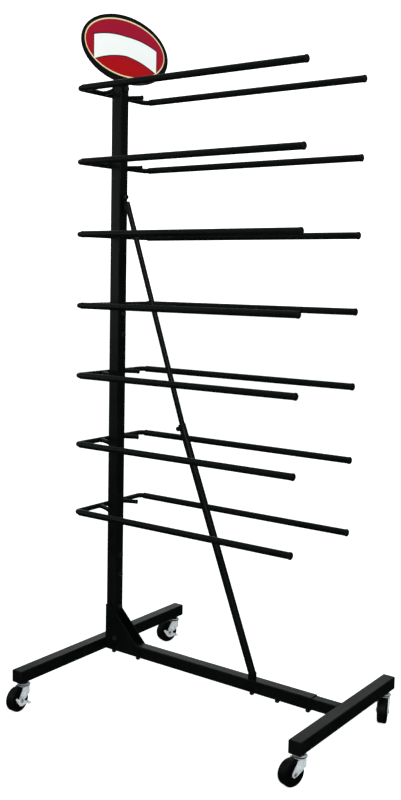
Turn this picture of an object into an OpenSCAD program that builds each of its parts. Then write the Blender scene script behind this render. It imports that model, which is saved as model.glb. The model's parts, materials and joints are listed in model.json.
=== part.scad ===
// Rolling display rack: a square steel post on an H-shaped base with four swivel
// castors, seven tiers of paired arms, a telescoping diagonal brace and an oval sign.
// +X is the way the arms point, +Y is across the rack, +Z is up, and the castors
// stand on Z = 0. The origin is under the middle of the rack's outer box.

/* [Post] */
// Outside width of the square post and base tubes
tube_w = 36; // [32:1:40]
// Wall of the square tubes
tube_wall = 1.8; // [1.2:0.1:3]
// Height of the post's top end above the floor
post_top_z = 1783; // [1780:1:1800]
// Height of the upper joint between post sections
seam_upper_z = 1042; // [1000:1:1060]
// Height of the lower joint between post sections
seam_lower_z = 304; // [290:1:320]
// Length of the sleeve inside the upper joint
sleeve_len = 200; // [180:5:240]

/* [Tiers] */
// Height of the top tier's arms
tier_top_z = 1758; // [1750:1:1765]
// Distance from one tier down to the next
tier_pitch = 203; // [190:1:205]
// Outside diameter of an arm
arm_d = 19; // [18:0.5:21]
// Wall of an arm
arm_wall = 1.5; // [1.2:0.1:1.7]
// Distance from the post's axis to the tips of the arms
arm_reach = 704; // [600:1:750]
// Distance between the two arms of a tier, centre to centre
arm_gap = 309; // [280:1:340]
// Diameter of the bent rear rod that joins two arms
rod_d = 15; // [14:0.5:15]
// Diameter of the short splayed prongs
prong_d = 12.5; // [11:0.5:14]
// Distance from the rack's middle to the foot of a prong
prong_root_y = 45; // [40:1:60]
// Angle of a prong outwards from the arms' direction
prong_splay = 24; // [15:1:35]
// Length of a prong from the rear rod's axis, with its cap
prong_len = 61; // [50:1:80]

/* [Base] */
// Height of the underside of the base tubes
base_z = 82; // [80:0.5:86]
// Length of the rear crossbar with its end caps
rear_bar_len = 780; // [700:1:820]
// Length of the front crossbar with its end caps
front_bar_len = 536; // [480:1:600]
// Distance from the post's axis to the front crossbar's axis
front_bar_x = 794; // [760:1:820]
// Distance from the post's axis to the open end of the base beam
beam_end_x = 700; // [690:1:720]
// Distance of a castor's stem from the end of its crossbar
castor_inset = 28; // [24:1:40]

/* [Brace] */
// Diameter of the brace's upper tube
brace_upper_d = 16; // [14:0.5:17]
// Diameter of the brace's lower tube
brace_lower_d = 22; // [21:0.5:25]
// Height of the brace's top bolt on the post
brace_top_z = 1465; // [1400:1:1500]
// Distance from the post's axis to the brace's foot bolt
brace_foot_x = 504.5; // [480:0.5:530]

/* [Sign] */
// Width of the oval sign
sign_w = 395; // [300:1:420]
// Height of the oval sign
sign_h = 190; // [140:1:200]
// Thickness of the sign board
sign_t = 3; // [3:0.5:8]
// Height of the sign's centre
sign_z = 1882; // [1875:1:1900]

/* [Castors] */
// Diameter of a wheel
wheel_d = 69; // [66:1:70]
// Width of a wheel's tread
wheel_w = 25; // [22:1:26]
// Distance from the swivel axis back to the axle
castor_trail = 28; // [28:0.5:32]
// Rest angle of the rear near castor about its stem
yaw_rear_near = 1; // [-180:1:180]
// Rest angle of the rear far castor about its stem
yaw_rear_far = -19; // [-180:1:180]
// Rest angle of the front near castor about its stem
yaw_front_near = -19; // [-180:1:180]
// Rest angle of the front far castor about its stem
yaw_front_far = 19; // [-180:1:180]

/* [Hidden] */
$fn = 48;

tier_count = 7;
half_w = tube_w / 2;
base_top_z = base_z + tube_w;
rear_bar_x = -tube_w;

// The post's axis stands behind the middle of the outer box, and the castors that trail
// to one side carry that box sideways.
post_x = -379.0;
mid_y = 17.3;

// Slip fits of one tube inside another
slip = 0.3;
inner_w = tube_w - 2 * tube_wall - 2 * slip;

// M8 fasteners
bolt_d = 8;
bolt_hole_d = 8.6;
head_flats = 13;
head_h = 5.3;
nut_h = 6.5;
washer_d = 16;
washer_t = 1.6;
splice_bolt_rise = [20, 80];
foot_bolt_z = 221;
clamp_bolt_x = 22;
clamp_bolt_z = 126;
base_bolt_x = [0, 95, 587, 683];

gusset_t = 3;
gusset_top_z = 225;
gusset_toe_x = 112;
gusset_low_z = 85;

cap_t = 3;
cap_plug = 12;

rod_x = -half_w - rod_d / 2;
rod_bend_r = 15;
rod_leg = 60;
arm_start_x = rod_x + rod_bend_r + 1;
arm_cap_d = arm_d + 1.6;
arm_cap_t = 6.5;
prong_cap_d = prong_d + 1.6;
prong_cap_t = 6;

// The brace's tubes meet at a slight angle, which the clearance between them allows.
brace_top = [half_w + 7, brace_top_z];
brace_joint = [257.5, 776];
brace_foot = [brace_foot_x, base_top_z + 12];
brace_overlap = 40;
brace_wall = 1.2;
knob_down = 12;
screw_d = 5;
brace_tab_t = 4;

bracket_w = 26;
bracket_t = 2;
sign_x = half_w + bracket_t;
sign_bolt_z = 1774;

castor_near_rear_y = rear_bar_len / 2 - castor_inset;
castor_near_front_y = front_bar_len / 2 - castor_inset;
axle_z = wheel_d / 2;
axle_d = 8;
kingpin_d = 10;
crown_top_z = 68;
crown_t = 3;
race_low_z = 68.4;
race_mid_z = 70.8;
race_top_z = 74.5;
fork_half_w = 16.5;
fork_t = 2.5;
fork_run = 0.05;

function tier_z(n) = tier_top_z - (n - 1) * tier_pitch;
function length2(p, q) = sqrt(pow(q[0] - p[0], 2) + pow(q[1] - p[1], 2));

// Puts a piece drawn about the post's axis where the post stands.
module on_rack() {
    translate([post_x, mid_y, 0])
        children();
}

// Solid square with round corners
module rounded_square(w, r) {
    square([w - 2 * r, w], center = true);
    square([w, w - 2 * r], center = true);
    for (x = [-1, 1], y = [-1, 1])
        translate([x * (w / 2 - r), y * (w / 2 - r)])
            circle(r, $fn = 32);
}

// Section of a square tube
module tube_section(w, wall) {
    difference() {
        rounded_square(w, 3);
        rounded_square(w - 2 * wall, 1.2);
    }
}

// Square tube standing on z = 0
module square_tube(w, wall, length) {
    linear_extrude(length)
        tube_section(w, wall);
}

// Round hole or rod along X, centred on the point
module along_x(d, length) {
    rotate([0, 90, 0])
        cylinder(d = d, h = length, center = true);
}

// Round hole or rod along Y, centred on the point
module along_y(d, length) {
    rotate([90, 0, 0])
        cylinder(d = d, h = length, center = true);
}

// Bolt along +Z with its head and washer below z = 0 and its end at z = reach
module bolt_head(reach) {
    translate([0, 0, -head_h - washer_t])
        cylinder(d = head_flats / cos(30), h = head_h, $fn = 6);
    translate([0, 0, -washer_t])
        cylinder(d = washer_d, h = washer_t);
    translate([0, 0, -1])
        cylinder(d = bolt_d, h = reach + 1);
}

// The same bolt with a nut above z = grip
module bolt_and_nut(grip) {
    bolt_head(grip + washer_t + nut_h + 2.5);
    translate([0, 0, grip])
        cylinder(d = washer_d, h = washer_t);
    translate([0, 0, grip + washer_t])
        cylinder(d = head_flats / cos(30), h = nut_h, $fn = 6);
}

// Bolt along +X through the post at height z, with its nut in front; lift is the
// thickness of what it clamps to the post's front face.
module post_bolt(z, lift = 0) {
    translate([-half_w, 0, z])
        rotate([0, 90, 0])
            bolt_and_nut(tube_w + lift);
}

// Holes through the post for a list of bolt heights
module post_holes(heights) {
    for (z = heights)
        translate([0, 0, z])
            along_x(bolt_hole_d, tube_w + 20);
}

function splice_bolt_heights(seam) = [for (rise = splice_bolt_rise) seam + rise];

// ---- Post ----

module post_section(low, high, holes) {
    difference() {
        translate([0, 0, low])
            square_tube(tube_w, tube_wall, high - low);
        post_holes(holes);
    }
}

module post_upper() {
    color("#101010") on_rack()
        post_section(seam_upper_z, post_top_z,
            concat(splice_bolt_heights(seam_upper_z), [brace_top_z, sign_bolt_z]));
}

module post_middle() {
    color("#101010") on_rack()
        post_section(seam_lower_z, seam_upper_z, splice_bolt_heights(seam_lower_z));
}

// The lowest section ends in a welded foot plate with a tapped middle.
module post_lower() {
    plate_t = 5;
    color("#101010") on_rack() difference() {
        union() {
            post_section(base_top_z, seam_lower_z, [foot_bolt_z]);
            translate([0, 0, base_top_z])
                linear_extrude(plate_t)
                    rounded_square(tube_w - 2 * tube_wall + 0.4, 1.2);
        }
        translate([0, 0, base_top_z - 1])
            cylinder(d = bolt_hole_d, h = plate_t + 2);
    }
}

module post_sleeve(seam, low) {
    difference() {
        translate([0, 0, low])
            square_tube(inner_w, 2, seam + sleeve_len / 2 - low);
        post_holes(splice_bolt_heights(seam));
    }
}

module post_sleeve_upper() {
    color("#1c1c1c") on_rack()
        post_sleeve(seam_upper_z, seam_upper_z - sleeve_len / 2);
}

module post_sleeve_lower() {
    color("#1c1c1c") on_rack()
        post_sleeve(seam_lower_z, seam_lower_z - 70);
}

// Square plastic plug: a thin head over the tube's end and a plug inside it
module square_cap() {
    linear_extrude(cap_t)
        rounded_square(tube_w, 3);
    translate([0, 0, -cap_plug])
        linear_extrude(cap_plug)
            rounded_square(inner_w, 2);
}

module post_cap() {
    color("#141414") on_rack()
        translate([0, 0, post_top_z])
            difference() {
                square_cap();
                translate([0, 0, sign_bolt_z - post_top_z])
                    along_x(bolt_hole_d, tube_w);
            }
}

// ---- Base ----

// Tube along X with its low end at x0
module beam_along_x(w, wall, x0, x1) {
    translate([x0, 0, base_z + half_w])
        rotate([0, 90, 0])
            square_tube(w, wall, x1 - x0);
}

module base_beam() {
    color("#101010") on_rack() difference() {
        beam_along_x(tube_w, tube_wall, -half_w, beam_end_x);
        for (x = base_bolt_x)
            translate([x, 0, base_z - 1])
                cylinder(d = bolt_hole_d, h = tube_wall + 2);
        for (x = [base_bolt_x[0], brace_foot_x])
            translate([x, 0, base_z - 1])
                cylinder(d = bolt_hole_d, h = tube_w + 2);
    }
}

// The smaller tube that plugs into the beam and is welded to the front crossbar
module base_stub() {
    stub_start_x = 560;
    color("#101010") on_rack() difference() {
        beam_along_x(inner_w, 2, stub_start_x, front_bar_x - half_w);
        for (i = [2 : len(base_bolt_x) - 1])
            translate([base_bolt_x[i], 0, base_z - 1])
                cylinder(d = bolt_hole_d, h = tube_wall + 5);
    }
}

// Crossbar along Y with a hole below for each castor stem
module crossbar(length, castor_y) {
    difference() {
        translate([0, length / 2 - cap_t, base_z + half_w])
            rotate([90, 0, 0])
                square_tube(tube_w, tube_wall, length - 2 * cap_t);
        for (side = [-1, 1])
            translate([0, side * castor_y, base_z - 1])
                cylinder(d = kingpin_d + 0.6, h = tube_wall + 2);
    }
}

module rear_crossbar() {
    color("#101010") on_rack()
        translate([rear_bar_x, 0, 0])
            crossbar(rear_bar_len, castor_near_rear_y);
}

module front_crossbar() {
    color("#101010") on_rack()
        translate([front_bar_x, 0, 0])
            crossbar(front_bar_len, castor_near_front_y);
}

module crossbar_end_caps() {
    ends = [[rear_bar_x, rear_bar_len], [front_bar_x, front_bar_len]];
    color("#181818") on_rack()
        for (bar = ends, side = [-1, 1])
            translate([bar[0], side * (bar[1] / 2 - cap_t), base_z + half_w])
                rotate([-side * 90, 0, 0])
                    square_cap();
}

// Two triangular plates that hold the post upright on the beam
module foot_gussets() {
    outline = [[-half_w, gusset_low_z], [gusset_toe_x, gusset_low_z],
        [gusset_toe_x, base_top_z - 8], [0, gusset_top_z], [-half_w, gusset_top_z]];
    color("#101010") on_rack()
        for (side = [-1, 1])
            difference() {
                translate([0, side * (half_w + gusset_t / 2) + gusset_t / 2, 0])
                    rotate([90, 0, 0])
                        linear_extrude(gusset_t)
                            polygon(outline);
                translate([clamp_bolt_x, 0, clamp_bolt_z])
                    along_y(bolt_hole_d, tube_w + 20);
            }
}

// ---- Fasteners ----

module splice_bolts() {
    heights = concat(splice_bolt_heights(seam_upper_z), splice_bolt_heights(seam_lower_z),
        [foot_bolt_z]);
    color("#1a1a1a") on_rack()
        for (z = heights)
            post_bolt(z);
}

module base_bolts() {
    color("#1a1a1a") on_rack() {
        translate([base_bolt_x[0], 0, base_z])
            bolt_and_nut(tube_w + 5);
        translate([base_bolt_x[1], 0, base_z])
            bolt_and_nut(tube_wall);
        for (i = [2 : len(base_bolt_x) - 1])
            translate([base_bolt_x[i], 0, base_z])
                bolt_and_nut(tube_wall + slip + 2);
        translate([clamp_bolt_x, -half_w - gusset_t, clamp_bolt_z])
            rotate([-90, 0, 0])
                bolt_and_nut(tube_w + 2 * gusset_t);
    }
}

module brace_bolts() {
    color("#1a1a1a") on_rack() {
        post_bolt(brace_top_z, brace_tab_t);
        translate([brace_foot_x, 0, base_z])
            bolt_head(tube_w + brace_foot[1] - base_top_z - 2);
    }
}

// ---- Brace ----

// Runs children drawn along +Z from point p towards point q, both [x, z].
module aim(p, q) {
    translate([p[0], 0, p[1]])
        rotate([0, atan2(q[0] - p[0], q[1] - p[1]), 0])
            children();
}

// Thin tube whose flattened top end is a tab bolted to the post
module brace_upper() {
    end = length2(brace_top, brace_joint) + brace_overlap;
    tab_w = 19;
    neck = 16;
    color("#101010") on_rack() {
        aim(brace_top, brace_joint)
            translate([0, 0, neck])
                cylinder(d = brace_upper_d, h = end - neck);
        translate([half_w, 7, brace_top_z])
            rotate([90, 0, 0])
                linear_extrude(14)
                    polygon([[0, -30], [0, -13], [12, -13], [17, -20], [12, -42]]);
        difference() {
            union() {
                translate([half_w, -tab_w / 2, brace_top_z - 20])
                    cube([brace_tab_t, tab_w, 20]);
                translate([half_w, 0, brace_top_z])
                    rotate([0, 90, 0])
                        cylinder(d = tab_w, h = brace_tab_t);
            }
            translate([half_w, 0, brace_top_z])
                along_x(bolt_hole_d, 20);
        }
    }
}

// Wide tube that stands on the beam on a short upright foot
module brace_lower() {
    full = length2(brace_foot, brace_joint) + brace_overlap;
    foot_h = brace_foot[1] - base_top_z;
    color("#101010") on_rack() difference() {
        union() {
            translate([brace_foot[0], 0, base_top_z])
                cylinder(d = brace_lower_d + 2, h = foot_h + 4);
            aim(brace_foot, brace_joint)
                brace_lower_tube(full);
        }
        translate([brace_foot[0], 0, base_top_z - 1])
            cylinder(d = bolt_hole_d, h = foot_h + 1);
    }
}

module brace_lower_tube(full) {
    difference() {
        union() {
            cylinder(d = brace_lower_d, h = full);
            translate([0, 0, full - knob_down])
                rotate([90, 0, 0])
                    cylinder(d = 11, h = brace_lower_d / 2 + 4);
        }
        translate([0, 0, 60])
            cylinder(d = brace_lower_d - 2 * brace_wall, h = full);
        translate([0, -brace_lower_d / 2, full - knob_down])
            along_y(screw_d + 0.1, 12);
    }
}

// Thumb screw through the lower tube's wall
module brace_knob() {
    knob_d = 14;
    color("#161616") on_rack()
        aim(brace_joint, brace_foot)
            translate([0, -brace_lower_d / 2, knob_down - brace_overlap])
                rotate([90, 0, 0]) {
                    translate([0, 0, -2.4])
                        cylinder(d = screw_d, h = 8);
                    translate([0, 0, 4.4])
                        difference() {
                            cylinder(d = knob_d, h = 10);
                            for (a = [0 : 30 : 330])
                                rotate([0, 0, a])
                                    translate([knob_d / 2 + 0.6, 0, -1])
                                        cylinder(d = 2.6, h = 12, $fn = 16);
                        }
                }
}

// ---- Tiers ----

// Rear rod bent forward at both ends, with two splayed prongs welded on
module tier_frame(n) {
    span = arm_gap / 2;
    translate([0, 0, tier_z(n)]) {
        translate([rod_x, 0, 0])
            along_y(rod_d, arm_gap - 2 * rod_bend_r);
        for (side = [-1, 1]) {
            translate([rod_x + rod_bend_r, side * (span - rod_bend_r), 0])
                rotate([0, 0, side > 0 ? 90 : 180])
                    rotate_extrude(angle = 90)
                        translate([rod_bend_r, 0])
                            circle(d = rod_d);
            translate([rod_x + rod_bend_r + rod_leg / 2, side * span, 0])
                along_x(rod_d, rod_leg);
            translate([rod_x, side * prong_root_y, 0])
                rotate([0, 0, side * prong_splay])
                    rotate([0, 90, 0])
                        cylinder(d = prong_d, h = prong_len - prong_cap_t);
        }
    }
}

module arm(n, side) {
    difference() {
        translate([arm_start_x, side * arm_gap / 2, tier_z(n)])
            rotate([0, 90, 0])
                cylinder(d = arm_d, h = arm_reach - arm_cap_t - arm_start_x);
        translate([arm_start_x - 1, side * arm_gap / 2, tier_z(n)])
            rotate([0, 90, 0])
                cylinder(d = arm_d - 2 * arm_wall, h = 2 * arm_reach);
    }
}

// Domed plug for an arm: its head covers the tube's end
module arm_end_caps() {
    plug_d = arm_d - 2 * arm_wall - 0.2;
    color("#161616") on_rack()
        for (n = [1 : tier_count], side = [-1, 1])
            translate([arm_reach - arm_cap_t, side * arm_gap / 2, tier_z(n)])
                rotate([0, 90, 0]) {
                    cylinder(d = arm_cap_d, h = arm_cap_t - 2);
                    translate([0, 0, arm_cap_t - 2])
                        cylinder(d1 = arm_cap_d, d2 = arm_cap_d - 4, h = 2);
                    translate([0, 0, -15])
                        cylinder(d = plug_d, h = 15);
                }
}

module prong_caps() {
    color("#161616") on_rack()
        for (n = [1 : tier_count], side = [-1, 1])
            translate([rod_x, side * prong_root_y, tier_z(n)])
                rotate([0, 0, side * prong_splay])
                    translate([prong_len - prong_cap_t, 0, 0])
                        rotate([0, 90, 0]) {
                            cylinder(d = prong_cap_d, h = prong_cap_t - 1.5);
                            translate([0, 0, prong_cap_t - 1.5])
                                cylinder(d1 = prong_cap_d, d2 = prong_cap_d - 3, h = 1.5);
                        }
}

module tier_frame_node(n) {
    color("#101010") on_rack()
        tier_frame(n);
}

module arm_node(n, side) {
    color("#101010") on_rack()
        arm(n, side);
}

// ---- Sign ----

// Oval of a given width and height
module oval(w, h) {
    points = [for (a = [0 : 5 : 355]) [w / 2 * cos(a), h / 2 * sin(a)]];
    polygon(points);
}

module sign_board() {
    color("#a01428") on_rack()
        translate([sign_x, 0, sign_z])
            rotate([90, 0, 90])
                difference() {
                    linear_extrude(sign_t)
                        oval(sign_w, sign_h);
                    for (z = [-60, 40])
                        translate([0, z, -1])
                            cylinder(d = 5.2, h = 3.2);
                }
}

// Flat strap from the post's front face up behind the sign
module sign_bracket() {
    low = 1750;
    high = sign_z + 60;
    color("#1a1a1a") on_rack() difference() {
        translate([half_w, -bracket_w / 2, low])
            cube([bracket_t, bracket_w, high - low]);
        post_holes([sign_bolt_z]);
        for (z = [-60, 40])
            translate([half_w, 0, sign_z + z])
                along_x(5.2, 20);
    }
}

// The strap's own bolt and the two screws into the back of the sign
module sign_screws() {
    color("#909090") on_rack() {
        post_bolt(sign_bolt_z, bracket_t);
        for (z = [-60, 40])
            translate([half_w, 0, sign_z + z])
                rotate([0, 90, 0]) {
                    translate([0, 0, -3])
                        cylinder(d = 10, h = 3);
                    cylinder(d = 5, h = bracket_t + 2);
                }
    }
}

// ---- Castors ----

// Runs children at a castor's stem [x, y], turned to its rest angle
module at_castor(x, y, yaw) {
    on_rack()
        translate([x, y, 0])
            rotate([0, 0, yaw])
                children();
}

module all_castors() {
    at_castor(rear_bar_x, -castor_near_rear_y, 0) children();
    at_castor(rear_bar_x, castor_near_rear_y, 0) children();
    at_castor(front_bar_x, -castor_near_front_y, 0) children();
    at_castor(front_bar_x, castor_near_front_y, 0) children();
}

// Threaded stem, upper race, and the riveted kingpin that the fork turns on
module castor_stem() {
    nut_z = base_z + tube_wall;
    cylinder_between(62.6, 64.6, 12);
    cylinder_between(64, base_z + 20, kingpin_d);
    cylinder_between(race_low_z, race_mid_z, 30);
    cylinder_between(race_mid_z, race_top_z - 1.5, 36);
    translate([0, 0, race_top_z - 1.5])
        cylinder(d1 = 36, d2 = 31, h = 1.5);
    translate([0, 0, nut_z])
        cylinder(d = 18, h = 8, $fn = 6);
}

module cylinder_between(low, high, d) {
    translate([0, 0, low])
        cylinder(d = d, h = high - low);
}

module castor_stems() {
    color("#c8ccd0")
        all_castors()
            castor_stem();
}

module castor_bushes() {
    color("#141414")
        all_castors()
            difference() {
                cylinder_between(race_top_z, base_z, 23);
                cylinder_between(race_top_z - 1, base_z + 1, kingpin_d + 0.2);
            }
}

// One leg of the fork seen from the side, [y, z]
module fork_leg() {
    polygon([[1, crown_top_z - 1], [1, 43], [-castor_trail + 5, axle_z - 7],
        [-castor_trail - 6, axle_z + 5], [-18, crown_top_z - 1]]);
    translate([-castor_trail, axle_z])
        circle(8);
}

// Stamped fork: a crown on the kingpin, a round front skirt and two legs
module castor_fork() {
    inner = fork_half_w - fork_t;
    skirt_z = 45;
    difference() {
        union() {
            translate([0, 0, crown_top_z - crown_t])
                linear_extrude(crown_t) {
                    circle(fork_half_w);
                    translate([-fork_half_w, -18])
                        square([2 * fork_half_w, 18]);
                }
            rotate_extrude(angle = 180)
                translate([inner, skirt_z])
                    square([fork_t, crown_top_z - crown_t + 1 - skirt_z]);
            for (x = [-fork_half_w, inner])
                translate([x, 0, 0])
                    rotate([90, 0, 90])
                        linear_extrude(fork_t)
                            fork_leg();
        }
        translate([0, -castor_trail, axle_z])
            along_x(wheel_d + 2.8, wheel_w + 2.6);
        translate([0, 0, 55])
            cylinder(d = kingpin_d + 2 * fork_run, h = 20);
        translate([0, -castor_trail, axle_z])
            along_x(axle_d + 0.4, 60);
    }
}

// Rubber-tyred wheel with a plain bore
module castor_wheel() {
    hub_half = 13.2;
    shoulder = 4;
    tread_half = wheel_w / 2;
    translate([0, -castor_trail, axle_z])
        rotate([0, 90, 0])
            rotate_extrude($fn = 96) {
                translate([26, -tread_half + shoulder])
                    square([wheel_d / 2 - 26, wheel_w - 2 * shoulder]);
                translate([26, -tread_half])
                    square([wheel_d / 2 - 26 - shoulder, wheel_w]);
                for (side = [-1, 1])
                    translate([wheel_d / 2 - shoulder, side * (tread_half - shoulder)])
                        circle(shoulder);
                translate([8, -8])
                    square([19, 16]);
                translate([axle_d / 2 + fork_run, -hub_half])
                    square([7.5, 2 * hub_half]);
            }
}

// Riveted axle with a low round head at each end
module castor_axle(reach) {
    rivet_d = 11;
    rivet_h = 1.6;
    translate([0, -castor_trail, axle_z]) {
        translate([reach / 2, 0, 0])
            along_x(axle_d, 2 * fork_half_w + reach);
        translate([fork_half_w + reach + rivet_h / 2, 0, 0])
            along_x(rivet_d, rivet_h);
        translate([-fork_half_w - rivet_h / 2, 0, 0])
            along_x(rivet_d, rivet_h);
    }
}

// Boomerang brake lever on the axle, with a foot tab bent outwards
module brake_pedal() {
    plate_x = fork_half_w + 0.4;
    plate_t = 2.4;
    translate([0, -castor_trail, axle_z])
        difference() {
            union() {
                translate([plate_x, 0, 0])
                    rotate([90, 0, 90])
                        linear_extrude(plate_t) {
                            circle(8);
                            polygon([[-23, 9], [-19, 12], [-8, 4], [8, 2], [15, -5], [28, -8],
                                [28, -12.5], [12, -15], [2, -17], [-8, -13]]);
                        }
                translate([plate_x, 18, -12.5])
                    cube([13, 10, 2.4]);
            }
            along_x(axle_d + 2 * fork_run, 80);
        }
}

module fork_node(x, y, yaw) {
    color("#c8ccd0")
        at_castor(x, y, yaw)
            castor_fork();
}

module wheel_node(x, y, yaw) {
    color("#141414")
        at_castor(x, y, yaw)
            castor_wheel();
}

module axle_node(x, y, yaw, reach) {
    color("#b0b4b8")
        at_castor(x, y, yaw)
            castor_axle(reach);
}

module pedal_node(x, y, yaw) {
    color("#c8ccd0")
        at_castor(x, y, yaw)
            brake_pedal();
}

pedal_reach = 3.2;
rear_y = castor_near_rear_y;
front_y = castor_near_front_y;

post_upper();
post_middle();
post_lower();
post_sleeve_upper();
post_sleeve_lower();
post_cap();
foot_gussets();
base_beam();
base_stub();
rear_crossbar();
front_crossbar();
crossbar_end_caps();
brace_upper();
brace_lower();
brace_knob();
splice_bolts();
base_bolts();
brace_bolts();
sign_board();
sign_bracket();
sign_screws();
for (n = [1 : tier_count]) {
    tier_frame_node(n);
    arm_node(n, -1);
    arm_node(n, 1);
}
arm_end_caps();
prong_caps();
castor_stems();
castor_bushes();
for (c = [["rear_near", rear_bar_x, -rear_y, yaw_rear_near, pedal_reach],
        ["rear_far", rear_bar_x, rear_y, yaw_rear_far, pedal_reach],
        ["front_near", front_bar_x, -front_y, yaw_front_near, 0],
        ["front_far", front_bar_x, front_y, yaw_front_far, 0]]) {
    fork_node(c[1], c[2], c[3]);
    wheel_node(c[1], c[2], c[3]);
    axle_node(c[1], c[2], c[3], c[4]);
}
pedal_node(rear_bar_x, -rear_y, yaw_rear_near);  // brake_pedal_rear_near
pedal_node(rear_bar_x, rear_y, yaw_rear_far);  // brake_pedal_rear_far
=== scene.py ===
"""Rolling display rack: materials, weld beads, castor detail, sign face, light and camera.

Lengths are in metres in the rack's own frame: +X is the way the arms point, +Z is up.
"""

import json
import math

import bpy
from mathutils import Matrix, Vector


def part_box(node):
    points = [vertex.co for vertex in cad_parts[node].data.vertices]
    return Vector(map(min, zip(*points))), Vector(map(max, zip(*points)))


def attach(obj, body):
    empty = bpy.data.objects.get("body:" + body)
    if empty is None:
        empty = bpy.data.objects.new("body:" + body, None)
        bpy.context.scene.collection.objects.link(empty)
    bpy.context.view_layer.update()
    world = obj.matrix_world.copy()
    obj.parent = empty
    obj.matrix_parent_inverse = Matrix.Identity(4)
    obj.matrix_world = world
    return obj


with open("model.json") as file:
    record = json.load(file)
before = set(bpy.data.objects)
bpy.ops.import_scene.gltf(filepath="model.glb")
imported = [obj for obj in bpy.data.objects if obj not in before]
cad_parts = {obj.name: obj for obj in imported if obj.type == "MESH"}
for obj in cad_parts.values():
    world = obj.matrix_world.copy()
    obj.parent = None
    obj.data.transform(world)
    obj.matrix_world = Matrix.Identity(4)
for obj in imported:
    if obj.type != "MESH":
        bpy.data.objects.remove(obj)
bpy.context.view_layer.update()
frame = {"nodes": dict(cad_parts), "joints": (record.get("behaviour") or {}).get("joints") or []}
NODES = frame["nodes"]

MM = 0.001
ALONG, ACROSS, UP = Vector((1, 0, 0)), Vector((0, 1, 0)), Vector((0, 0, 1))
SIDES = (-1, 1)
TIERS = range(1, 8)
CASTORS = ("rear_near", "rear_far", "front_near", "front_far")


# ---------------------------------------------------------------- positions


POST_LOW, POST_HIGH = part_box("post_middle")
POST = Vector(((POST_LOW.x + POST_HIGH.x) / 2, (POST_LOW.y + POST_HIGH.y) / 2, 0))
HALF_TUBE = (POST_HIGH.x - POST_LOW.x) / 2
BEAM_LOW, BEAM_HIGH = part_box("base_beam")
SIGN_LOW, SIGN_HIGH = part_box("sign_board")


# ---------------------------------------------------------------- camera

AZIMUTH = math.radians(38.116)
ELEVATION = math.radians(7.165)
ROLL = math.radians(0.814)
# The post's foot as the camera sees it: to the right, upwards and straight ahead
SIDEWAYS, UPWARDS, DISTANCE = -0.082, -0.855, 3.2044
SENSOR_MM, LENS_MM = 36, 46.0305
SHIFT_X = 0.075625


def make_camera():
    forward = Vector(
        (
            -math.sin(AZIMUTH) * math.cos(ELEVATION),
            math.cos(AZIMUTH) * math.cos(ELEVATION),
            -math.sin(ELEVATION),
        )
    )
    level = Vector((math.cos(AZIMUTH), math.sin(AZIMUTH), 0))
    upright = level.cross(forward)
    right = math.cos(ROLL) * level + math.sin(ROLL) * upright
    up = -math.sin(ROLL) * level + math.cos(ROLL) * upright
    place = POST - (SIDEWAYS * right + UPWARDS * up + DISTANCE * forward)
    camera = bpy.data.objects.new("camera", bpy.data.cameras.new("camera"))
    bpy.context.scene.collection.objects.link(camera)
    turn = Matrix((right, up, -forward)).transposed()
    camera.matrix_world = Matrix.Translation(place) @ turn.to_4x4()
    camera.data.sensor_width = SENSOR_MM
    camera.data.lens = LENS_MM
    camera.data.shift_x = SHIFT_X
    camera.data.clip_end = 100
    bpy.context.scene.camera = camera


make_camera()


# ---------------------------------------------------------------- materials


class Nodes:
    """Short names for building a material's node tree."""

    def __init__(self, name):
        self.material = bpy.data.materials.new(name)
        self.material.use_nodes = True
        self.tree = self.material.node_tree
        self.shader = self.tree.nodes["Principled BSDF"]
        coordinates = self.tree.nodes.new("ShaderNodeTexCoord")
        self.where = coordinates.outputs["Object"]

    def wire(self, value, socket):
        if isinstance(value, bpy.types.NodeSocket):
            self.tree.links.new(value, socket)
        else:
            socket.default_value = value

    def math(self, operation, a, b=0.0):
        node = self.tree.nodes.new("ShaderNodeMath")
        node.operation = operation
        self.wire(a, node.inputs[0])
        self.wire(b, node.inputs[1])
        return node.outputs[0]

    def noise(self, scale, detail=3.0, stretch=None):
        where = self.where
        if stretch:
            mapping = self.tree.nodes.new("ShaderNodeMapping")
            mapping.inputs["Scale"].default_value = stretch
            self.wire(self.where, mapping.inputs["Vector"])
            where = mapping.outputs["Vector"]
        node = self.tree.nodes.new("ShaderNodeTexNoise")
        node.inputs["Scale"].default_value = scale
        node.inputs["Detail"].default_value = detail
        self.wire(where, node.inputs["Vector"])
        return node.outputs["Fac"]

    def span(self, value, low, high, start=0.3, end=0.7):
        """value from start..end mapped to low..high."""
        node = self.tree.nodes.new("ShaderNodeMapRange")
        self.wire(value, node.inputs["Value"])
        node.inputs["From Min"].default_value = start
        node.inputs["From Max"].default_value = end
        node.inputs["To Min"].default_value = low
        node.inputs["To Max"].default_value = high
        return node.outputs["Result"]

    def mix(self, factor, a, b):
        node = self.tree.nodes.new("ShaderNodeMix")
        node.data_type = "RGBA"
        self.wire(factor, node.inputs["Factor"])
        self.wire(a, node.inputs["A"])
        self.wire(b, node.inputs["B"])
        return node.outputs["Result"]

    def bump(self, height, distance, strength, under=None):
        node = self.tree.nodes.new("ShaderNodeBump")
        node.inputs["Strength"].default_value = strength
        node.inputs["Distance"].default_value = distance
        self.wire(height, node.inputs["Height"])
        if under is not None:
            self.wire(under, node.inputs["Normal"])
        return node.outputs["Normal"]

    def set(self, **inputs):
        names = {"colour": "Base Color", "rough": "Roughness", "metal": "Metallic",
                 "normal": "Normal", "specular": "Specular IOR Level",
                 "glow_colour": "Emission Color", "glow": "Emission Strength"}
        for key, value in inputs.items():
            self.wire(value, self.shader.inputs[names[key]])
        return self.material


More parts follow.
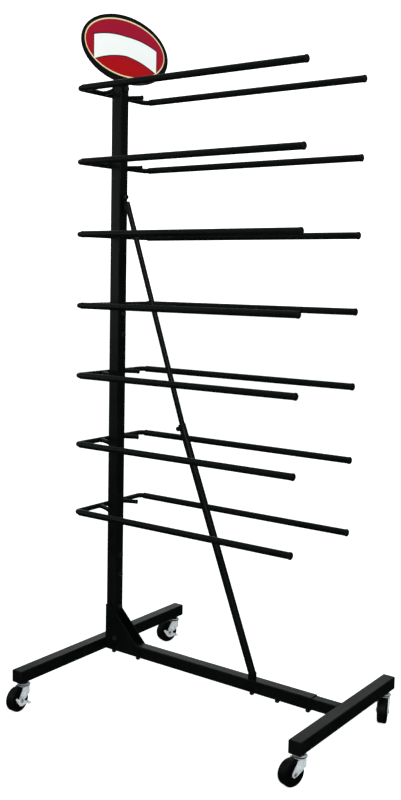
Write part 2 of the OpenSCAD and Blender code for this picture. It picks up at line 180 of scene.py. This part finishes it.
def rgb(r, g, b):
    """An sRGB colour, 0 to 255, as the shader's linear colour."""
    def linear(v):
        v /= 255
        return v / 12.92 if v <= 0.04045 else ((v + 0.055) / 1.055) ** 2.4

    return (linear(r), linear(g), linear(b), 1.0)


def powder_coat(name, rough=0.36, grain=1.0):
    """Black satin powder coat: fine orange peel, faint cloudiness, a trace of dust."""
    n = Nodes(name)
    cloud = n.noise(9, 4)
    dust = n.span(n.noise(55, 6), 0, 1, 0.55, 0.8)
    colour = n.mix(n.span(cloud, 0, 1), rgb(4, 5, 5), rgb(8, 10, 10))
    colour = n.mix(n.math("MULTIPLY", dust, 0.2), colour, rgb(24, 28, 28))
    peel = n.bump(n.noise(620, 2), 0.00012 * grain, 0.6)
    peel = n.bump(n.noise(2400, 1), 0.00004 * grain, 0.5, peel)
    return n.set(colour=colour, rough=n.span(cloud, rough - 0.04, rough + 0.06),
                 normal=peel, specular=0.1)


def moulded_plastic(name):
    """Black moulded plastic with a fine spark-eroded grain."""
    n = Nodes(name)
    cloud = n.noise(30, 3)
    colour = n.mix(n.span(cloud, 0, 1), rgb(5, 5, 6), rgb(10, 10, 11))
    grain = n.bump(n.noise(1800, 2), 0.00006, 0.7)
    return n.set(colour=colour, rough=n.span(cloud, 0.42, 0.52), normal=grain, specular=0.12)


def zinc_plate(name, tone=0.95, metal=0.28):
    """Bright zinc plate on stamped steel: soft spangle, drawing marks and dull patches."""
    n = Nodes(name)
    spangle = n.noise(180, 4)
    drawn = n.noise(60, 3, stretch=(1, 1, 9))
    light = (tone, tone * 1.02, tone * 1.04, 1)
    dark = (tone * 0.6, tone * 0.64, tone * 0.68, 1)
    colour = n.mix(n.span(spangle, 0, 1), dark, light)
    colour = n.mix(n.span(drawn, 0, 0.35), colour, (0.36, 0.38, 0.39, 1))
    marks = n.bump(drawn, 0.0001, 0.4)
    return n.set(colour=colour, metal=metal, rough=n.span(spangle, 0.3, 0.46),
                 normal=n.bump(spangle, 0.00005, 0.4, marks))


def dark_steel(name):
    """Oiled dark steel with worn lighter patches."""
    tone = 0.02
    n = Nodes(name)
    wear = n.noise(220, 4)
    colour = n.mix(n.span(wear, 0, 1, 0.5, 0.75), (tone, tone, tone * 1.05, 1),
                   (tone * 3, tone * 3, tone * 3.1, 1))
    return n.set(colour=colour, metal=0.7, rough=n.span(wear, 0.32, 0.5),
                 normal=n.bump(wear, 0.00008, 0.4))


def tyre_rubber(name):
    """Hard black rubber: matt, finely pitted, greyer in scattered scuffed patches."""
    n = Nodes(name)
    pits = n.noise(900, 3)
    scuff = n.span(n.noise(70, 5), 0, 1, 0.5, 0.75)
    colour = n.mix(n.math("MULTIPLY", scuff, 0.2), rgb(3, 3, 4), rgb(15, 15, 16))
    return n.set(colour=colour, rough=n.span(scuff, 0.5, 0.66, 0, 1),
                 normal=n.bump(pits, 0.00012, 0.5), specular=0.1)


BLACK = powder_coat("black_powder_coat")
BOLTS = dark_steel("blackened_bolts")
PLASTIC = moulded_plastic("black_plastic")
ZINC = zinc_plate("zinc_plate")
ZINC_DULL = zinc_plate("zinc_dull", 0.5, 0.6)
RUBBER = tyre_rubber("tyre_rubber")
WELD = powder_coat("coated_weld", 0.42, 2.0)
# Dark steel for the ball race. It is also used as painted shade: a shadow ring round the race plate's side,
# and the rivets' punched hollows.
RACE_STEEL_AND_SHADE = dark_steel("race_steel_and_painted_shade")


# The sign's printed face: a black edge, a cream pinstripe and a red field that deepens
# downwards, with one plain arched white band across it.

SIGN_MID = Vector((0, (SIGN_LOW.y + SIGN_HIGH.y) / 2, (SIGN_LOW.z + SIGN_HIGH.z) / 2))
STRIPE_MID = (-0.003, 0.004)
STRIPE_HALF = (0.1803, 0.0779)
STRIPE_WIDTH = 0.0036
BAND_RISE, BAND_BOW = 0.006, 1.15  # height of its middle, and how fast it drops to the ends
BAND_HALF, BAND_FLARE = 0.026, 0.045  # half its height, and how fast that grows outwards
BAND_REACH = 0.142
OUTLINE_UP, OUTLINE_OUT = 0.003, 0.0035
INK_EDGE = 0.0005


def sign_print():
    """Ink on the front face only; the back and the edge are plain black."""
    n = Nodes("sign_print")
    split = n.tree.nodes.new("ShaderNodeSeparateXYZ")
    n.wire(n.where, split.inputs[0])
    across = n.math("SUBTRACT", split.outputs["Y"], SIGN_MID.y + STRIPE_MID[0])
    up = n.math("SUBTRACT", split.outputs["Z"], SIGN_MID.z + STRIPE_MID[1])

    def ellipse_distance(half_w, half_h):
        """How far a point lies outside an ellipse, in metres."""
        u = n.math("DIVIDE", across, half_w)
        v = n.math("DIVIDE", up, half_h)
        reach = n.math("SQRT", n.math("ADD", n.math("MULTIPLY", u, u), n.math("MULTIPLY", v, v)))
        gu = n.math("DIVIDE", u, half_w)
        gv = n.math("DIVIDE", v, half_h)
        slope = n.math("ADD", n.math("MULTIPLY", gu, gu), n.math("MULTIPLY", gv, gv))
        slope = n.math("DIVIDE", n.math("SQRT", slope), n.math("MAXIMUM", reach, 0.01))
        return n.math("DIVIDE", n.math("SUBTRACT", reach, 1), n.math("MAXIMUM", slope, 0.5))

    def step(value):
        """0 below zero, 1 above, with a soft edge as ink has."""
        return n.span(value, 0, 1, -INK_EDGE, INK_EDGE)

    outside = ellipse_distance(*STRIPE_HALF)
    in_stripe = step(n.math("SUBTRACT", STRIPE_WIDTH / 2, n.math("ABSOLUTE", outside)))
    in_field = step(n.math("SUBTRACT", 0, outside))
    deep = n.span(up, 0, 1, -0.05, 0.04)
    red = n.mix(deep, rgb(176, 2, 10), rgb(160, 12, 46))
    red = n.mix(n.span(n.noise(14, 3), 0, 0.18), red, rgb(150, 8, 30))

    # The band: between two arcs, with its ends cut square to it
    bow = n.math("MULTIPLY", n.math("MULTIPLY", across, across), BAND_BOW)
    rise = n.math("ABSOLUTE", n.math("ADD", n.math("SUBTRACT", up, BAND_RISE), bow))
    out = n.math("ABSOLUTE", across)
    half = n.math("ADD", BAND_HALF, n.math("MULTIPLY", out, BAND_FLARE))

    def within(tall, reach):
        """1 where the point is less than tall from the band's middle line and reach from its centre."""
        return n.math("MULTIPLY", step(n.math("SUBTRACT", tall, rise)), step(n.math("SUBTRACT", reach, out)))

    in_band = within(half, BAND_REACH)
    edge = within(n.math("ADD", half, OUTLINE_UP), BAND_REACH + OUTLINE_OUT)

    colour = n.mix(in_field, rgb(5, 4, 6), red)
    colour = n.mix(n.math("MULTIPLY", edge, in_field), colour, rgb(22, 8, 14))
    colour = n.mix(n.math("MULTIPLY", in_band, in_field), colour, rgb(250, 250, 248))
    colour = n.mix(in_stripe, colour, rgb(240, 222, 172))
    geometry = n.tree.nodes.new("ShaderNodeNewGeometry")
    facing = n.tree.nodes.new("ShaderNodeSeparateXYZ")
    n.wire(geometry.outputs["Normal"], facing.inputs[0])
    front = n.span(facing.outputs["X"], 0, 1, 0.3, 0.6)
    colour = n.mix(front, rgb(14, 14, 15), colour)
    return n.set(colour=colour, rough=n.span(n.noise(25, 3), 0.3, 0.4), specular=0.2,
                 normal=n.bump(n.noise(700, 2), 0.00005, 0.5))


SIGN = sign_print()


def paint(node, material):
    obj = NODES[node]
    obj.data.materials.clear()
    obj.data.materials.append(material)


PLASTIC_NODES = {"post_cap", "crossbar_end_caps", "arm_end_caps", "prong_caps",
                 "castor_bushes", "brace_knob"}
for name in NODES:
    if name.startswith("castor_wheel"):
        paint(name, RUBBER)
    elif name.startswith(("castor_fork", "castor_stems", "brake_pedal")):
        paint(name, ZINC)
    elif name.startswith("castor_axle"):
        paint(name, ZINC_DULL)
    elif name in ("splice_bolts", "base_bolts", "brace_bolts", "sign_screws"):
        paint(name, BOLTS)
    elif name in PLASTIC_NODES:
        paint(name, PLASTIC)
    elif name == "sign_board":
        paint(name, SIGN)
    else:
        paint(name, BLACK)


def soften(node, width):
    """Rounds a CAD node's sharp edges for the picture."""
    bevel = NODES[node].modifiers.new("edges", "BEVEL")
    bevel.width = width
    bevel.segments = 2
    bevel.limit_method = "ANGLE"
    bevel.angle_limit = math.radians(40)


for name in ("foot_gussets", "sign_bracket", "splice_bolts", "base_bolts", "brace_bolts"):
    soften(name, 0.0005)
for name in ("crossbar_end_caps", "post_cap"):
    soften(name, 0.0008)


# ---------------------------------------------------------------- added pieces


def mesh_object(name, verts, faces, material):
    mesh = bpy.data.meshes.new(name)
    mesh.from_pydata([tuple(v) for v in verts], [], faces)
    mesh.materials.append(material)
    obj = bpy.data.objects.new(name, mesh)
    bpy.context.scene.collection.objects.link(obj)
    return obj


def circle(middle, side, other, radius, count):
    """Points evenly round middle, in the plane of two unit directions."""
    turns = (2 * math.pi * k / count for k in range(count))
    return [Vector(middle) + radius * (math.cos(a) * side + math.sin(a) * other) for a in turns]


DROP_STEPS = 4  # rings along one drop of a weld bead


class Shape:
    """Collects vertices and faces of several shapes for one piece."""

    def __init__(self):
        self.verts = []
        self.faces = []

    def sweep(self, rings, closed=False, capped=True):
        """Joins rings of points, all with the same count."""
        count = len(rings[0])
        start = len(self.verts)
        for ring in rings:
            self.verts += [Vector(p) for p in ring]
        last = len(rings) if closed else len(rings) - 1
        for i in range(last):
            a = start + i * count
            b = start + (i + 1) % len(rings) * count
            for k in range(count):
                m = (k + 1) % count
                self.faces.append((a + k, a + m, b + m, b + k))
        if capped and not closed:
            self.faces.append(tuple(start + k for k in reversed(range(count))))
            self.faces.append(tuple(start + (len(rings) - 1) * count + k for k in range(count)))

    def bead(self, p, q, radius, pitch=0.0035):
        """A weld bead from p to q: a rippled rope of overlapping drops."""
        p, q = Vector(p), Vector(q)
        along = q - p
        side = along.orthogonal().normalized()
        other = along.normalized().cross(side)
        steps = max(6, int(along.length / pitch) * DROP_STEPS)
        rings = []
        for i in range(steps + 1):
            t = i / steps
            ends = min(1, 10 * t + 0.25, 10 * (1 - t) + 0.25)
            r = radius * ends * (1 + 0.16 * abs(math.sin(math.pi * i / DROP_STEPS)))
            rings.append(circle(p + t * along, side, other, r, 10))
        self.sweep(rings)

    def ring(self, middle, axis, radius, thick, around=48, section=12):
        """A torus about axis."""
        axis = Vector(axis).normalized()
        side = axis.orthogonal().normalized()
        rings = []
        for spoke in circle((0, 0, 0), side, axis.cross(side), 1, around):
            rings.append(circle(Vector(middle) + radius * spoke, spoke, axis, thick, section))
        self.sweep(rings, closed=True)

    def prism(self, ends, side, other, radius, count):
        """A straight prism between two middles."""
        self.sweep([circle(end, side, other, radius, count) for end in ends])

    def make(self, name, material, body):
        """Turns what was collected into one piece that moves with body."""
        obj = mesh_object(name, self.verts, self.faces, material)
        obj.data.validate()
        obj.data.polygons.foreach_set("use_smooth", [True] * len(obj.data.polygons))
        obj.data.update()
        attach(obj, body)


def tier_welds():
    """Beads that hold each tier's rear rod to the post and the prongs to the rod."""
    bead_off = 0.0058  # from the rod's axis, forwards and up or down
    inset = 0.003  # of a bead's end from the post's edge
    prong_y, prong_angle = 0.0482, math.radians(24)
    across = Vector((0, HALF_TUBE - inset, 0))
    for n in TIERS:
        low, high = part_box(f"tier_frame_{n}")
        height = (low.z + high.z) / 2
        rod_r = (high.z - low.z) / 2
        rod_x = low.x + rod_r
        shape = Shape()
        for side in SIDES:
            bead = Vector((rod_x + bead_off, POST.y, height + side * bead_off))
            shape.bead(bead - across, bead + across, 0.0021)
            root = Vector((rod_x + rod_r - 0.0002, POST.y + side * prong_y, height))
            out = Vector((math.cos(prong_angle), side * math.sin(prong_angle), 0))
            shape.ring(root, out, 0.0066, 0.0013, 32, 8)
        shape.make(f"tier_weld_{n}", WELD, "rack")


def base_welds():
    """Beads where the beam meets the rear crossbar and the stub meets the front one."""
    bead_r = 0.0019
    shape = Shape()
    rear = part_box("rear_crossbar")[1].x + 0.0006
    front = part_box("front_crossbar")[0].x - 0.0006
    for x, (low, high) in ((rear, (BEAM_LOW, BEAM_HIGH)), (front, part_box("base_stub"))):
        for y in (low.y - 0.0004, high.y + 0.0004):
            shape.bead((x, y, low.z + 0.004), (x, y, high.z - 0.003), bead_r)
        shape.bead((x, low.y + 0.003, high.z), (x, high.y - 0.003, high.z), bead_r)
    shape.make("base_weld", WELD, "rack")


def foot_welds():
    """Beads along the post where the gussets stand against it."""
    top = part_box("foot_gussets")[1].z + 0.0004
    shape = Shape()
    for side in SIDES:
        y = POST.y + side * (HALF_TUBE + 0.0006)
        shape.bead((POST.x - HALF_TUBE + 0.003, y, top), (POST.x - 0.002, y, top), 0.0017)
    shape.make("foot_weld", WELD, "rack")


# The bolts under the beam, from the post: four base bolts and, third, the brace's foot bolt
BOLT_X = (0, 0.095, 0.5045, 0.587, 0.683)
NUT_H, NUT_R = 0.0045, 0.0074
THREAD_R, THREAD_PITCH, THREAD_TURNS = 0.0036, 0.00125, 2


def bolt_tails():
    """A hexagon and a short threaded end below each bolt head, for the look of the photo."""
    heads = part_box("base_bolts")[0].z
    tip = NUT_H + THREAD_TURNS * THREAD_PITCH
    shape = Shape()
    for x in BOLT_X:
        head = Vector((POST.x + x, POST.y, heads))
        shape.prism((head - NUT_H * UP, head + 0.0003 * UP), ALONG, ACROSS, NUT_R, 6)
        for k in range(THREAD_TURNS):
            shape.ring(head - (0.005 + k * THREAD_PITCH) * UP, UP, 0.0034, 0.0006, 24, 6)
        shape.prism((head - tip * UP, head - 0.004 * UP), ALONG, ACROSS, THREAD_R, 24)
    shape.make("bolt_tail", BOLTS, "rack")


JOINTS = {j["name"]: j for j in frame["joints"]}

# Castor sizes in mm, outwards from the wheel's middle or up from the floor
AXLE_FACE = 18.1
PEDAL_ROOM = 3.2  # how much longer a braked castor's axle is on the pedal's side
LEG_FACE = 16.5
# The dark disc painted as shade in each rivet's punched hollow: its radius, then its inner and outer face
# from the head.
DIMPLE_R, DIMPLE_IN, DIMPLE_OUT = 1.8, -0.5, 0.15
# The first ring is the dark ball race. The second is painted shade: a dark band round the race plate's side,
# where a shadow gap falls.
RACE_STEEL_AND_SHADE_RINGS = ((69.6, 15.2, 1.0), (71.7, 17.8, 1.2))  # height, radius, thickness
FORK_RING = (67.6, 15.8, 0.9)
TYRE_RINGS = ((12.3, 30.2, 0.5), (12.3, 27.2, 0.5))  # distance outwards, radius, thickness
HUB_RING = (8, 19.5, 0.9)
PIVOT_RING = (19.3, 7.8, 0.5)
TREAD_Y, TREAD_Z, TREAD_X = (20, 23, 26), -10, (19.8, 29)
LONG_DROP = 0.05  # a bead's pitch, in metres, that leaves it plain


class Castor:
    """One castor's details, placed in mm along its own directions: x its axle, y forward, z up."""

    def __init__(self, name):
        self.name = name
        self.braked = name.startswith("rear")
        stem = Vector(JOINTS["swivel_" + name]["pos_m"])
        self.foot = Vector((stem.x, stem.y, 0))
        self.axle = Vector(JOINTS["roll_" + name]["pos_m"])
        self.x = Vector(JOINTS["roll_" + name]["axis"])
        back = self.axle - stem
        self.y = -Vector((back.x, back.y, 0)) / math.hypot(back.x, back.y)

    def offset(self, x, y, z):
        return x * MM * self.x + y * MM * self.y + z * MM * UP

    def at(self, x, y, z):
        """A point given from the stem's axis at the floor."""
        return self.foot + self.offset(x, y, z)

    def by_axle(self, x, y, z):
        """A point given from the axle's middle."""
        return self.axle + self.offset(x, y, z)

    def race(self):
        """Dark rings on the fixed race plate: the ball race, and painted shade round the plate's side."""
        shape = Shape()
        for height, radius, thick in RACE_STEEL_AND_SHADE_RINGS:
            shape.ring(self.at(0, 0, height), UP, radius * MM, thick * MM)
        shape.make(f"race_and_shade_ring_{self.name}", RACE_STEEL_AND_SHADE, "rack")

    def fork_press(self):
        """The rolled edge under the race and a rib pressed into each leg."""
        shape = Shape()
        height, radius, thick = FORK_RING
        shape.ring(self.at(0, 0, height), UP, radius * MM, thick * MM)
        for side in SIDES:
            leg = side * LEG_FACE
            shape.bead(self.at(leg, -6, 58), self.at(leg, -20, 42), 0.0011, LONG_DROP)
        shape.make(f"fork_press_{self.name}", ZINC, f"fork_{self.name}")

    def rivet_hollow_shades(self):
        """A dark disc on both rivet heads: painted shade in the punched hollow."""
        shape = Shape()
        right = AXLE_FACE + PEDAL_ROOM if self.braked else AXLE_FACE
        for x, out in ((right, 1), (-AXLE_FACE, -1)):
            ends = (self.by_axle(x + out * h, 0, 0) for h in (DIMPLE_IN, DIMPLE_OUT))
            shape.prism(ends, self.y, UP, DIMPLE_R * MM, 24)
        shape.make(f"rivet_hollow_shade_{self.name}", RACE_STEEL_AND_SHADE, f"fork_{self.name}")

    def side_ring(self, shape, out, sizes, around):
        """A ring about the axle; out is its side, sizes its distance outwards, radius and thickness."""
        x, radius, thick = sizes
        shape.ring(self.by_axle(out * x, 0, 0), self.x, radius * MM, thick * MM, around, 8)

    def tyre_ridges(self):
        """Two fine rings on each side of the tyre and one on the hub."""
        shape = Shape()
        for side in SIDES:
            for sizes in TYRE_RINGS:
                self.side_ring(shape, side, sizes, 72)
            self.side_ring(shape, side, HUB_RING, 48)
        shape.make(f"tyre_ridges_{self.name}", RUBBER, f"wheel_{self.name}")

    def pedal_tread(self):
        """Three bars across the pedal's foot tab and a ring round its pivot."""
        shape = Shape()
        for y in TREAD_Y:
            start, end = (self.by_axle(x, y, TREAD_Z) for x in TREAD_X)
            shape.bead(start, end, 0.0006, LONG_DROP)
        self.side_ring(shape, 1, PIVOT_RING, 32)
        shape.make(f"pedal_tread_{self.name}", ZINC, f"pedal_{self.name}")


for castor in map(Castor, CASTORS):
    castor.race()
    castor.fork_press()
    castor.rivet_hollow_shades()
    castor.tyre_ridges()
    if castor.braked:
        castor.pedal_tread()
tier_welds()
base_welds()
foot_welds()
bolt_tails()


# ---------------------------------------------------------------- floor and light


PAPER = 0.8
FLOOR_HALF, DOME_R = 30, 30


def paper(name, glow):
    """Pale paper with a faint mottle that also gives off light, at strength glow."""
    n = Nodes(name)
    tint = n.span(n.noise(0.6, 2), 0.985, 1.0)
    edge = PAPER * 0.97
    colour = n.mix(tint, (edge, edge, edge, 1), (PAPER, PAPER, PAPER, 1))
    return n.set(colour=colour, rough=0.9, specular=0.0, glow_colour=(1, 1, 1, 1), glow=glow)


def floor():
    s = FLOOR_HALF
    corners = [(-s, -s, 0), (s, -s, 0), (s, s, 0), (-s, s, 0)]
    obj = mesh_object("floor", corners, [(0, 1, 2, 3)], paper("floor_paper", 0.75))
    obj.visible_glossy = False


def backdrop():
    """A pale dome behind everything, seen only directly."""
    rings = []
    for i in range(13):
        a = math.radians(-6 + 8 * i)
        middle = (0, 0, DOME_R * math.sin(a))
        rings.append(circle(middle, ALONG, ACROSS, DOME_R * math.cos(a), 48))
    shape = Shape()
    shape.sweep(rings, capped=False)
    obj = mesh_object("backdrop", shape.verts, shape.faces, paper("backdrop_paper", 1.0))
    for flag in ("visible_glossy", "visible_diffuse", "visible_transmission", "visible_shadow"):
        setattr(obj, flag, False)


def area_light(name, place, aim, size, power):
    light = bpy.data.lights.new(name, "AREA")
    light.shape = "RECTANGLE"
    light.size, light.size_y = size
    light.energy = power
    obj = bpy.data.objects.new(name, light)
    bpy.context.scene.collection.objects.link(obj)
    obj.visible_camera = False
    obj.location = place
    obj.rotation_euler = (Vector(aim) - Vector(place)).to_track_quat("-Z", "Y").to_euler()


def sky():
    """Soft light from above that fades to dark at the horizon."""
    world = bpy.data.worlds.new("studio")
    bpy.context.scene.world = world
    world.use_nodes = True
    tree = world.node_tree
    where = tree.nodes.new("ShaderNodeTexCoord")
    split = tree.nodes.new("ShaderNodeSeparateXYZ")
    tree.links.new(where.outputs["Generated"], split.inputs[0])
    span = tree.nodes.new("ShaderNodeMapRange")
    tree.links.new(split.outputs["Z"], span.inputs["Value"])
    for key, value in (("From Min", 0.0), ("From Max", 0.8), ("To Min", 0.02), ("To Max", 0.65)):
        span.inputs[key].default_value = value
    tree.links.new(span.outputs["Result"], tree.nodes["Background"].inputs["Strength"])
    tree.nodes["Background"].inputs["Color"].default_value = (0.84, 1.0, 1.0, 1)


floor()
backdrop()
sky()
area_light("key", (3.2, -3.6, 3.4), (0, 0, 0.9), (1.6, 1.6), 130)
area_light("fill", (-3.5, -2.5, 1.6), (0, 0, 0.6), (2.0, 2.0), 26)
area_light("back", (-2.6, 3.9, 1.5), (0, 0, 0.6), (3.0, 1.0), 14)

bpy.context.scene.view_settings.view_transform = "Standard"
